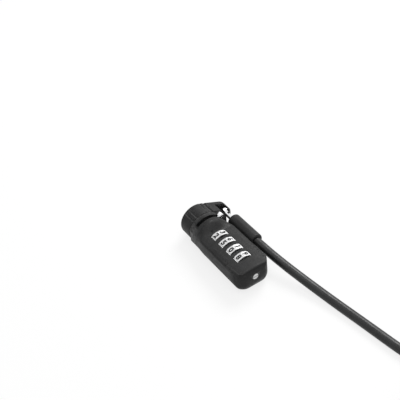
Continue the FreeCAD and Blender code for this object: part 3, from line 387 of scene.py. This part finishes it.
def make_edge_rub():
    """Edges rubbed by handling, broken up by a noise."""
    tree, wiring, given, result = start_group("edge_rub", {"Reach": 0.0003, "Amount": 0.5}, ["Mask"])
    soft = wiring.add("ShaderNodeBevel", {"Radius": given["Reach"]}, samples=6).outputs["Normal"]
    true = wiring.add("ShaderNodeNewGeometry").outputs["True Normal"]
    dot = wiring.add("ShaderNodeVectorMath", {0: soft, 1: true}, operation="DOT_PRODUCT").outputs["Value"]
    bent = wiring.spread(dot, 0.985, 0.90)
    patches = wiring.spread(wiring.noise(wiring.place(), 700.0, 3.0), 0.40, 0.62)
    worn = wiring.math("MULTIPLY", bent, patches)
    wiring.feed(result["Mask"], wiring.math("MULTIPLY", worn, given["Amount"]))
    return tree


def make_settled_dust():
    """A little dust on the faces that look up."""
    tree, wiring, given, result = start_group("settled_dust", {"Amount": 0.1}, ["Mask"])
    normal = wiring.add("ShaderNodeTexCoord").outputs["Normal"]
    up = wiring.add("ShaderNodeSeparateXYZ", {0: normal}).outputs["Z"]
    specks = wiring.spread(wiring.noise(wiring.place(), 1600.0, 5.0), 0.48, 0.72)
    lying = wiring.math("MULTIPLY", wiring.spread(up, 0.2, 1.0), specks)
    wiring.feed(result["Mask"], wiring.math("MULTIPLY", lying, given["Amount"]))
    return tree


def make_hand_smudge():
    """Roughness that changes slowly where hands have touched."""
    inputs = {"Smooth": 0.3, "Rough": 0.5}
    tree, wiring, given, result = start_group("hand_smudge", inputs, ["Roughness"])
    smears = wiring.noise(wiring.place((1.0, 1.6, 1.6)), 130.0, 4.0, 1.5)
    value = wiring.spread(smears, 0.35, 0.65, given["Smooth"], given["Rough"])
    wiring.feed(result["Roughness"], value)
    return tree


def make_turning_marks():
    """Fine rings left by the lathe, round the lock's axis and along it."""
    tree, wiring, given, result = start_group("turning_marks", {"Scale": 6000.0}, ["Height"])
    along = wiring.noise(wiring.place((1.0, 0.02, 0.02)), given["Scale"], 2.0)
    across = wiring.place((0.0, 1.0, 1.0))
    radius = wiring.add("ShaderNodeVectorMath", {0: across}, operation="LENGTH").outputs["Value"]
    rings = wiring.add("ShaderNodeTexNoise", noise_dimensions="1D")
    wiring.feed(rings.inputs["W"], radius)
    wiring.feed(rings.inputs["Scale"], given["Scale"])
    wiring.feed(result["Height"], wiring.math("MULTIPLY", along, rings.outputs["Fac"]))
    return tree


fine_grain = make_fine_grain()
edge_rub = make_edge_rub()
settled_dust = make_settled_dust()
hand_smudge = make_hand_smudge()
turning_marks = make_turning_marks()


# Finishes


def start_finish(name):
    finish = bpy.data.materials.new(name)
    finish.use_nodes = True
    return finish, Wiring(finish.node_tree), finish.node_tree.nodes["Principled BSDF"].inputs


def grey(level, warmth=0.0):
    return (level * (1 + warmth), level, level * (1 - warmth), 1)


def add_bump(wiring, surface, height, strength, depth):
    sockets = {"Height": height, "Strength": strength, "Distance": depth}
    wiring.feed(surface["Normal"], wiring.add("ShaderNodeBump", sockets).outputs["Normal"])


def moulded_black(name, dark, light, smooth, rough, grain_scale, rub, dust):
    """Satin black coating or plastic: fine grain, rubbed edges, a little dust."""
    finish, wiring, surface = start_finish(name)
    grain = wiring.group(fine_grain, Scale=grain_scale)
    worn = wiring.group(edge_rub, Reach=0.00035, Amount=rub)
    dusty = wiring.group(settled_dust, Amount=dust)
    colour = wiring.mix(grain["Mottle"], grey(dark), grey(light, -0.03))
    colour = wiring.mix(worn["Mask"], colour, grey(0.12))
    colour = wiring.mix(dusty["Mask"], colour, grey(0.34, 0.05))
    wiring.feed(surface["Base Color"], colour)
    smudge = wiring.group(hand_smudge, Smooth=smooth, Rough=rough)
    wiring.feed(surface["Roughness"], smudge["Roughness"])
    surface["Specular IOR Level"].default_value = 0.17
    add_bump(wiring, surface, grain["Height"], 0.35, 0.03 * MM)
    return finish


def turned_metal(name, dark, light, smooth, rough, scale):
    """Bare metal with lathe marks."""
    finish, wiring, surface = start_finish(name)
    marks = wiring.group(turning_marks, Scale=scale)
    shade = wiring.spread(marks["Height"], 0.15, 0.35)
    wiring.feed(surface["Base Color"], wiring.mix(shade, dark, light))
    smudge = wiring.group(hand_smudge, Smooth=smooth, Rough=rough)
    wiring.feed(surface["Roughness"], smudge["Roughness"])
    surface["Metallic"].default_value = 1.0
    add_bump(wiring, surface, marks["Height"], 0.3, LATHE_DEPTH * MM)
    return finish


def polished_chrome():
    finish, wiring, surface = start_finish("chrome_plate")
    ripple = wiring.group(fine_grain, Scale=900.0)
    wiring.feed(surface["Base Color"], wiring.mix(ripple["Mottle"], grey(0.80, -0.01), grey(0.90, -0.01)))
    smudge = wiring.group(hand_smudge, Smooth=0.06, Rough=0.17)
    wiring.feed(surface["Roughness"], smudge["Roughness"])
    surface["Metallic"].default_value = 1.0
    add_bump(wiring, surface, ripple["Height"], 0.05, 0.02 * MM)
    return finish


def cable_jacket():
    """Smooth plastic drawn over twisted strands, which show faintly."""
    finish, wiring, surface = start_finish("cable_jacket")
    surface_map = wiring.add("ShaderNodeTexCoord").outputs["UV"]
    parts = wiring.add("ShaderNodeSeparateXYZ", {0: surface_map}).outputs
    twist = wiring.math("MULTIPLY", parts["X"], STRANDS * CABLE_LENGTH / STRAND_LAY)
    around = wiring.math("MULTIPLY", parts["Y"], STRANDS)
    turn = wiring.math("MULTIPLY", wiring.math("ADD", twist, around), math.tau)
    strands = wiring.spread(wiring.math("SINE", turn), -1.0, 1.0)
    grain = wiring.group(fine_grain, Scale=4200.0)
    dusty = wiring.group(settled_dust, Amount=0.05)
    colour = wiring.mix(grain["Mottle"], grey(0.012), grey(0.018, -0.03))
    colour = wiring.mix(dusty["Mask"], colour, grey(0.30, 0.05))
    wiring.feed(surface["Base Color"], colour)
    smudge = wiring.group(hand_smudge, Smooth=0.30, Rough=0.44)
    wiring.feed(surface["Roughness"], smudge["Roughness"])
    surface["Specular IOR Level"].default_value = 0.3
    height = wiring.math("ADD", strands, wiring.math("MULTIPLY", grain["Height"], 0.15))
    add_bump(wiring, surface, height, 0.25, 0.05 * MM)
    return finish


def ribbed_strap():
    """Soft strap with ribs along it."""
    finish, wiring, surface = start_finish("strap_rubber")
    across = wiring.add("ShaderNodeSeparateXYZ", {0: wiring.place()}).outputs["X"]
    ribs = wiring.math("SINE", wiring.math("MULTIPLY", across, math.tau / (0.8 * MM)))
    grain = wiring.group(fine_grain, Scale=2600.0)
    dusty = wiring.group(settled_dust, Amount=0.2)
    colour = wiring.mix(grain["Mottle"], grey(0.018), grey(0.028))
    wiring.feed(surface["Base Color"], wiring.mix(dusty["Mask"], colour, grey(0.30, 0.05)))
    surface["Roughness"].default_value = 0.75
    height = wiring.math("ADD", ribs, wiring.math("MULTIPLY", grain["Height"], 0.6))
    add_bump(wiring, surface, height, 0.5, 0.08 * MM)
    return finish


FINISHES = {
    # Dark and light tone, least and most roughness, the grain's scale, rubbed edges and dust
    "case_black": moulded_black("case_coating", 0.010, 0.015, 0.40, 0.54, 5200.0, 0.40, 0.05),
    "sleeve_black": moulded_black("sleeve_plastic", 0.013, 0.019, 0.38, 0.50, 3600.0, 0.30, 0.05),
    "rubber_black": moulded_black("pad_rubber", 0.018, 0.026, 0.66, 0.80, 2600.0, 0.10, 0.18),
    # Dark and light colour, least and most roughness, and the scale of the lathe's marks
    "wheel_metal": turned_metal("wheel_nickel", grey(0.56), grey(0.72), 0.28, 0.40, 5200.0),
    "steel_bright": turned_metal("turned_steel", grey(0.52), grey(0.66), 0.24, 0.38, 5200.0),
    "steel_dark": turned_metal("oxide_steel", grey(0.10), grey(0.17), 0.34, 0.48, 4200.0),
    "spring_steel": turned_metal("spring_steel", grey(0.42), grey(0.54), 0.26, 0.36, 4200.0),
    "brass": turned_metal("turned_brass", (0.62, 0.45, 0.19, 1), (0.76, 0.58, 0.28, 1), 0.24, 0.38, 5200.0),
    "chrome": polished_chrome(),
    "cable_black": cable_jacket(),
}
# Dark paint for the wheels' figures, which are print, and for the index mark, where it is painted shade of
# the mark's engraved hollow.
print_and_painted_shade = moulded_black("print_and_painted_shade", 0.002, 0.004, 0.60, 0.75, 5200.0, 0.0, 0.0)
strap_rubber = ribbed_strap()


def dress_nodes():
    """Gives every carried-over piece the finish of its slot."""
    for part in frame["record"]["subparts"]:
        piece = frame["nodes"][part["node"]]
        for place in piece.material_slots:
            place.material = FINISHES[part["material_slot"]]


dress_nodes()


# New pieces


def finish_piece(shape, name, body, finish, smooth_below=40.0):
    """Makes an object of a bmesh, with its faces outwards and its flat faces kept flat."""
    bmesh.ops.recalc_face_normals(shape, faces=shape.faces)
    mesh = bpy.data.meshes.new(name)
    shape.to_mesh(mesh)
    shape.free()
    mesh.materials.append(finish)
    mesh.shade_smooth()
    mesh.set_sharp_from_angle(angle=math.radians(smooth_below))
    piece = add_object(name, mesh)
    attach(piece, body)
    return piece


def digit_shape(figure):
    """One figure as a thin flat solid, centred, as high as the wheel's figures."""
    text = bpy.data.curves.new("figure", "FONT")
    text.body = str(figure)
    text.resolution_u = 5
    text.size = 1.0
    text.offset = DIGIT_WEIGHT
    text.extrude = 0.5
    holder = add_object("figure", text)
    bpy.context.view_layer.update()
    flat = bpy.data.meshes.new_from_object(holder)
    bpy.data.objects.remove(holder)
    bpy.data.curves.remove(text)
    low = [min(v.co[k] for v in flat.vertices) for k in range(3)]
    high = [max(v.co[k] for v in flat.vertices) for k in range(3)]
    size = DIGIT_HEIGHT * MM / (high[1] - low[1])
    centre = Vector([(a + b) / 2 for a, b in zip(low, high)])
    flat.transform(Matrix.Diagonal((size, size, DIGIT_DEPTH * MM, 1)) @ Matrix.Translation(-centre))
    return flat


def make_figures(number, along, shown):
    """The ten figures of one wheel, painted on its facets, their heads towards the cable's side."""
    shape = bmesh.new()
    turn = math.tau / WHEEL_FACETS
    for k in range(WHEEL_FACETS):
        flat = digit_shape((shown - k) % WHEEL_FACETS)
        lift = Matrix.Translation((along * MM, 0, WHEEL_FLAT * MM))
        face = Matrix(((-1, 0, 0, 0), (0, -1, 0, 0), (0, 0, 1, 0), (0, 0, 0, 1)))
        flat.transform(Matrix.Rotation(-(k + 0.5) * turn, 4, "X") @ lift @ face)
        shape.from_mesh(flat)
        bpy.data.meshes.remove(flat)
    bmesh.ops.remove_doubles(shape, verts=shape.verts, dist=CLOSE * MM)
    finish_piece(shape, f"wheel_figures_{number}", f"dial_{number}", print_and_painted_shade, DIGIT_SHARP)


def turn_profile(shape, profile, axis_point, axis, closed=True):
    """Turns a line of points round an axis. A closed line makes a ring."""
    corners = [shape.verts.new(Vector(point) * MM) for point in profile]
    following = corners[1:] + corners[:1] if closed else corners[1:]
    edges = [shape.edges.new(pair) for pair in zip(corners, following)]
    bmesh.ops.spin(
        shape,
        geom=corners + edges,
        cent=Vector(axis_point) * MM,
        axis=axis,
        angle=math.tau,
        steps=TURN_STEPS,
        use_merge=True,
    )


def make_pin_cap():
    """Polished cap on the turn pin's outer end."""
    shape = bmesh.new()
    half = PIN_CAP_RADIUS
    profile = [
        (0, 0, PIN_CAP_LOW),
        (half - PIN_CAP_CHAMFER, 0, PIN_CAP_LOW),
        (half, 0, PIN_CAP_LOW + PIN_CAP_CHAMFER),
        (half, 0, PIN_CAP_TOP - PIN_CAP_ROUND),
        (half - PIN_CAP_HALFWAY, 0, PIN_CAP_TOP - PIN_CAP_HALFWAY),
        (half - PIN_CAP_ROUND, 0, PIN_CAP_TOP),
        (0, 0, PIN_CAP_TOP + PIN_CAP_CROWN),
    ]
    turn_profile(shape, profile, (0, 0, 0), (0, 0, 1), closed=False)
    bmesh.ops.remove_doubles(shape, verts=shape.verts, dist=CLOSE * MM)
    placed = Matrix.Translation((PIN_PLACE * MM, 0, 0)) @ Matrix.Rotation(PIN_ANGLE, 4, "X")
    bmesh.ops.transform(shape, matrix=placed, verts=shape.verts)
    finish_piece(shape, "turn_pin_cap", "t_bar", FINISHES["chrome"])


def make_link_rings():
    """Wide rim round the link's eye, and the shoulder where its shank enters the sleeve."""
    shape = bmesh.new()
    x, y, z = HINGE
    half = EYE_WIDTH / 2
    rim = [
        (x + EYE_INNER, y - half, z),
        (x + EYE_RIM - EYE_CHAMFER, y - half, z),
        (x + EYE_RIM, y - half + EYE_CHAMFER, z),
        (x + EYE_RIM, y + half - EYE_CHAMFER, z),
        (x + EYE_RIM - EYE_CHAMFER, y + half, z),
        (x + EYE_INNER, y + half, z),
    ]
    turn_profile(shape, rim, HINGE, (0, 1, 0))
    front, rear = NECK_RING
    shoulder = [
        (rear, y, z + NECK_INNER),
        (rear, y, z + NECK_EDGE),
        (rear + NECK_CHAMFER, y, z + NECK_OUTER),
        (front - NECK_CHAMFER, y, z + NECK_OUTER),
        (front, y, z + NECK_EDGE),
        (front, y, z + NECK_INNER),
    ]
    turn_profile(shape, shoulder, HINGE, (1, 0, 0))
    finish_piece(shape, "link_rings", "cable", FINISHES["chrome"])


def make_index_mark():
    """Small pointer on the slope ahead of the first wheel, where the case has an engraved index mark; its
    dark paint is painted shade of that hollow.
    """
    case = frame["nodes"]["housing"]
    corners = [case.matrix_world @ v.co for v in case.data.vertices]
    skin = BVHTree.FromPolygons(corners, [tuple(p.vertices) for p in case.data.polygons])
    shape = bmesh.new()
    bmesh.ops.create_grid(shape, x_segments=MARK_CELLS, y_segments=MARK_CELLS, size=0.5)
    for corner in shape.verts:
        share = corner.co.x + 0.5
        along = MARK_PLACE[0] + MARK_LENGTH * (share - 0.5)
        aside = MARK_PLACE[1] + corner.co.y * MARK_WIDTH * (MARK_TIP + (1 - MARK_TIP) * share)
        start = Vector((along, aside, ABOVE_CASE)) * MM
        hit = skin.ray_cast(start, Vector((0, 0, -1)))[0]
        corner.co = hit + Vector((0, 0, MARK_LIFT * MM))
    grown = bmesh.ops.extrude_face_region(shape, geom=shape.faces[:])
    lowered = [part for part in grown["geom"] if isinstance(part, bmesh.types.BMVert)]
    bmesh.ops.translate(shape, vec=(0, 0, -MARK_DEPTH * MM), verts=lowered)
    finish_piece(shape, "index_mark_shade", "body", print_and_painted_shade)


def extrude_strip(shape, edges, width):
    """Draws a line of edges out along X into a strip of faces."""
    grown = bmesh.ops.extrude_edge_only(shape, edges=edges)["geom"]
    moved = [part for part in grown if isinstance(part, bmesh.types.BMVert)]
    bmesh.ops.translate(shape, vec=(width, 0, 0), verts=moved)


def make_tie_strap():
    """Soft strap round one side of the hank, with its free end lying along it."""
    low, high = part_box("cable_tie")
    thick = TIE_THICKNESS * MM
    shape = bmesh.new()
    bmesh.ops.create_grid(shape, x_segments=1, y_segments=1, size=0.5)
    corners = shape.verts[:]
    middle = (low + high) / 2
    size = high - low - Vector((0, thick, thick))
    for corner in corners:
        corner.co = Vector((low.x, middle.y + corner.co.x * size.y, middle.z + corner.co.y * size.z))
    bmesh.ops.bevel(
        shape,
        geom=corners,
        offset=TIE_ROUND * MM,
        segments=6,
        profile=0.5,
        affect="VERTICES",
        material=-1,
    )
    bmesh.ops.delete(shape, geom=shape.faces[:], context="FACES_ONLY")
    extrude_strip(shape, shape.edges[:], high.x - low.x)
    inset = TIE_TAB_INSET * MM
    tab_low = Vector((low.x + inset, low.y - TIE_TAB_OUT * thick, low.z + TIE_TAB_HEIGHT * MM))
    tab_high = tab_low + Vector((0, 0, TIE_TAB_LENGTH * MM))
    tab = [shape.verts.new(tab_low), shape.verts.new(tab_high)]
    extrude_strip(shape, [shape.edges.new(tab)], high.x - low.x - 2 * inset)
    strap = finish_piece(shape, "tie_strap", "cable", strap_rubber)
    wall = strap.modifiers.new("wall", "SOLIDIFY")
    wall.thickness = thick
    wall.offset = 0.0
    rims = strap.modifiers.new("rims", "BEVEL")
    rims.width = TIE_RIM * MM
    rims.segments = 2
    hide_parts("cable_tie")
    return strap


def merged_copy(node):
    """A solid's mesh with its corners joined."""
    shape = bmesh.new()
    shape.from_mesh(frame["nodes"][node].data)
    bmesh.ops.remove_doubles(shape, verts=shape.verts, dist=MERGED * MM)
    return shape


def block(ranges):
    """A plain block between three ranges in millimetres."""
    shape = bmesh.new()
    bmesh.ops.create_cube(shape, size=1.0)
    for corner in shape.verts:
        corner.co = Vector([low + (c + 0.5) * (high - low) for c, (low, high) in zip(corner.co, ranges)]) * MM
    return shape


def round_edges(shape, chosen, radius, segments):
    bmesh.ops.bevel(
        shape,
        geom=[edge for edge in shape.edges if chosen(edge)],
        offset=radius * MM,
        segments=segments,
        profile=0.5,
        affect="EDGES",
        material=-1,
    )


def is_along(edge, axis):
    """Whether an edge runs along one axis."""
    step = edge.verts[1].co - edge.verts[0].co
    return abs(step[axis]) > 0.99 * step.length


def carved(whole, tool):
    """Takes one shape out of another and gives the rest."""
    holders = []
    for shape in (whole, tool):
        mesh = bpy.data.meshes.new("carving")
        shape.to_mesh(mesh)
        shape.free()
        holders.append(add_object("carving", mesh))
    cut = holders[0].modifiers.new("cut", "BOOLEAN")
    cut.operation = "DIFFERENCE"
    cut.solver = "EXACT"
    cut.object = holders[1]
    ready = holders[0].evaluated_get(bpy.context.evaluated_depsgraph_get())
    result = bpy.data.meshes.new_from_object(ready)
    for holder in holders:
        bpy.data.objects.remove(holder)
    rest = bmesh.new()
    rest.from_mesh(result)
    bpy.data.meshes.remove(result)
    bmesh.ops.remove_doubles(rest, verts=rest.verts, dist=MERGED * MM)
    return rest


def tail_tool():
    """What lies outside the tail's round corners and rounded rims."""
    inner = block(TAIL_BLOCK)
    rear, front = TAIL_BLOCK[0]
    low, high = TAIL_BLOCK[2]
    end = (rear + NEAR_FACE) * MM
    round_edges(inner, lambda e: is_along(e, 2) and e.verts[0].co.x < end, TAIL_ROUND, segments=12)

    def on_rim(edge, level):
        flat = all(abs(v.co.z - level * MM) < CLOSE * MM for v in edge.verts)
        return flat and min(v.co.x for v in edge.verts) < (front - NEAR_FACE) * MM

    round_edges(inner, lambda e: on_rim(e, low), LOWER_RIM, segments=8)
    round_edges(inner, lambda e: on_rim(e, high), UPPER_RIM, segments=4)
    return carved(block(TAIL_REACH), inner)


def make_case():
    """The case and its cover with fuller tail corners, and the head narrowed as far as the side step."""
    shape = carved(merged_copy("housing"), tail_tool())
    inner = block(HEAD_BLOCK)
    round_edges(inner, lambda e: is_along(e, 0) and e.verts[0].co.z < 0, HEAD_ROUND, segments=6)
    shape = carved(shape, carved(block(HEAD_REACH), inner))
    case = finish_piece(shape, "moulded_case", "body", FINISHES["case_black"], CARVED_SHARP)
    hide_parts("housing")
    plate = carved(merged_copy("base_cover"), tail_tool())
    cover = finish_piece(plate, "base_plate", "body", FINISHES["case_black"], CARVED_SHARP)
    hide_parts("base_cover")


def make_swivel_ring():
    """The collar with a rounder ear, cut away beside the eye so that the eye shows."""
    tool = block(EYE_CUT)
    round_edges(tool, lambda e: is_along(e, 0), EYE_CUT_ROUND, segments=5)
    shape = carved(merged_copy("swivel_collar"), tool)
    for corner in shape.verts:
        x, y, z = corner.co / MM
        if y < EAR_START:
            reach = math.sqrt(1 - ((EAR_START - y) / EAR_REACH) ** 2)
            corner.co.x = (EAR_MIDDLE + (x - EAR_MIDDLE) * reach) * MM
    ring = finish_piece(shape, "swivel_ring", "collar", FINISHES["case_black"], CARVED_SHARP)
    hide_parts("swivel_collar")


for number, (along, shown) in enumerate(zip(WHEEL_PLACES, SHOWN), start=1):
    make_figures(number, along, shown)
make_case()
make_swivel_ring()
make_pin_cap()
make_link_rings()
make_index_mark()
strap = make_tie_strap()
cable = make_cable()
cable.data.materials.append(FINISHES["cable_black"])


# Stage and light


def add_light(name, place, aim, size, power):
    data = bpy.data.lights.new(name, "AREA")
    data.shape = "DISK"
    data.size = size
    data.energy = power
    light = add_object(name, data)
    light.location = place
    light.rotation_mode = "QUATERNION"
    light.rotation_quaternion = (Vector(aim) - Vector(place)).to_track_quat("-Z", "Y")


def seen_share(wiring):
    """1 for camera rays and for rays that are mirrored or let through, 0 for the others."""
    path = wiring.add("ShaderNodeLightPath").outputs
    mirrored = wiring.math("MAXIMUM", path["Is Glossy Ray"], path["Is Transmission Ray"])
    return wiring.math("MAXIMUM", path["Is Camera Ray"], mirrored)


def set_table():
    mesh = bpy.data.meshes.new("table")
    shape = bmesh.new()
    bmesh.ops.create_grid(shape, x_segments=1, y_segments=1, size=4.0)
    bmesh.ops.translate(shape, vec=(0, 0, TABLE_LEVEL), verts=shape.verts)
    shape.to_mesh(mesh)
    shape.free()
    table = add_object("table", mesh)
    finish, wiring, surface = start_finish("table_white")
    surface["Base Color"].default_value = grey(0.88)
    surface["Roughness"].default_value = 0.7
    surface["Specular IOR Level"].default_value = 0.2
    glow = wiring.add("ShaderNodeEmission", {"Color": (1, 1, 1, 1), "Strength": 1.0})
    share = wiring.math("MULTIPLY", seen_share(wiring), TABLE_GLOW)
    shown = wiring.add("ShaderNodeMixShader", {0: share})
    lit = finish.node_tree.nodes["Principled BSDF"].outputs["BSDF"]
    wiring.feed(shown.inputs[1], lit)
    wiring.feed(shown.inputs[2], glow.outputs["Emission"])
    end = finish.node_tree.nodes["Material Output"]
    wiring.feed(end.inputs["Surface"], shown.outputs["Shader"])
    mesh.materials.append(finish)


def set_room():
    world = bpy.data.worlds.new("room")
    bpy.context.scene.world = world
    world.use_nodes = True
    wiring = Wiring(world.node_tree)
    room = world.node_tree.nodes["Background"]
    wiring.feed(room.inputs["Color"], (1, 1, 1, 1))
    wiring.feed(room.inputs["Strength"], wiring.spread(seen_share(wiring), 0.0, 1.0, ROOM_LIGHT, 1.0))


set_table()
set_room()
for light in LIGHTS:
    add_light(*light)
bpy.context.scene.view_settings.view_transform = "Standard"
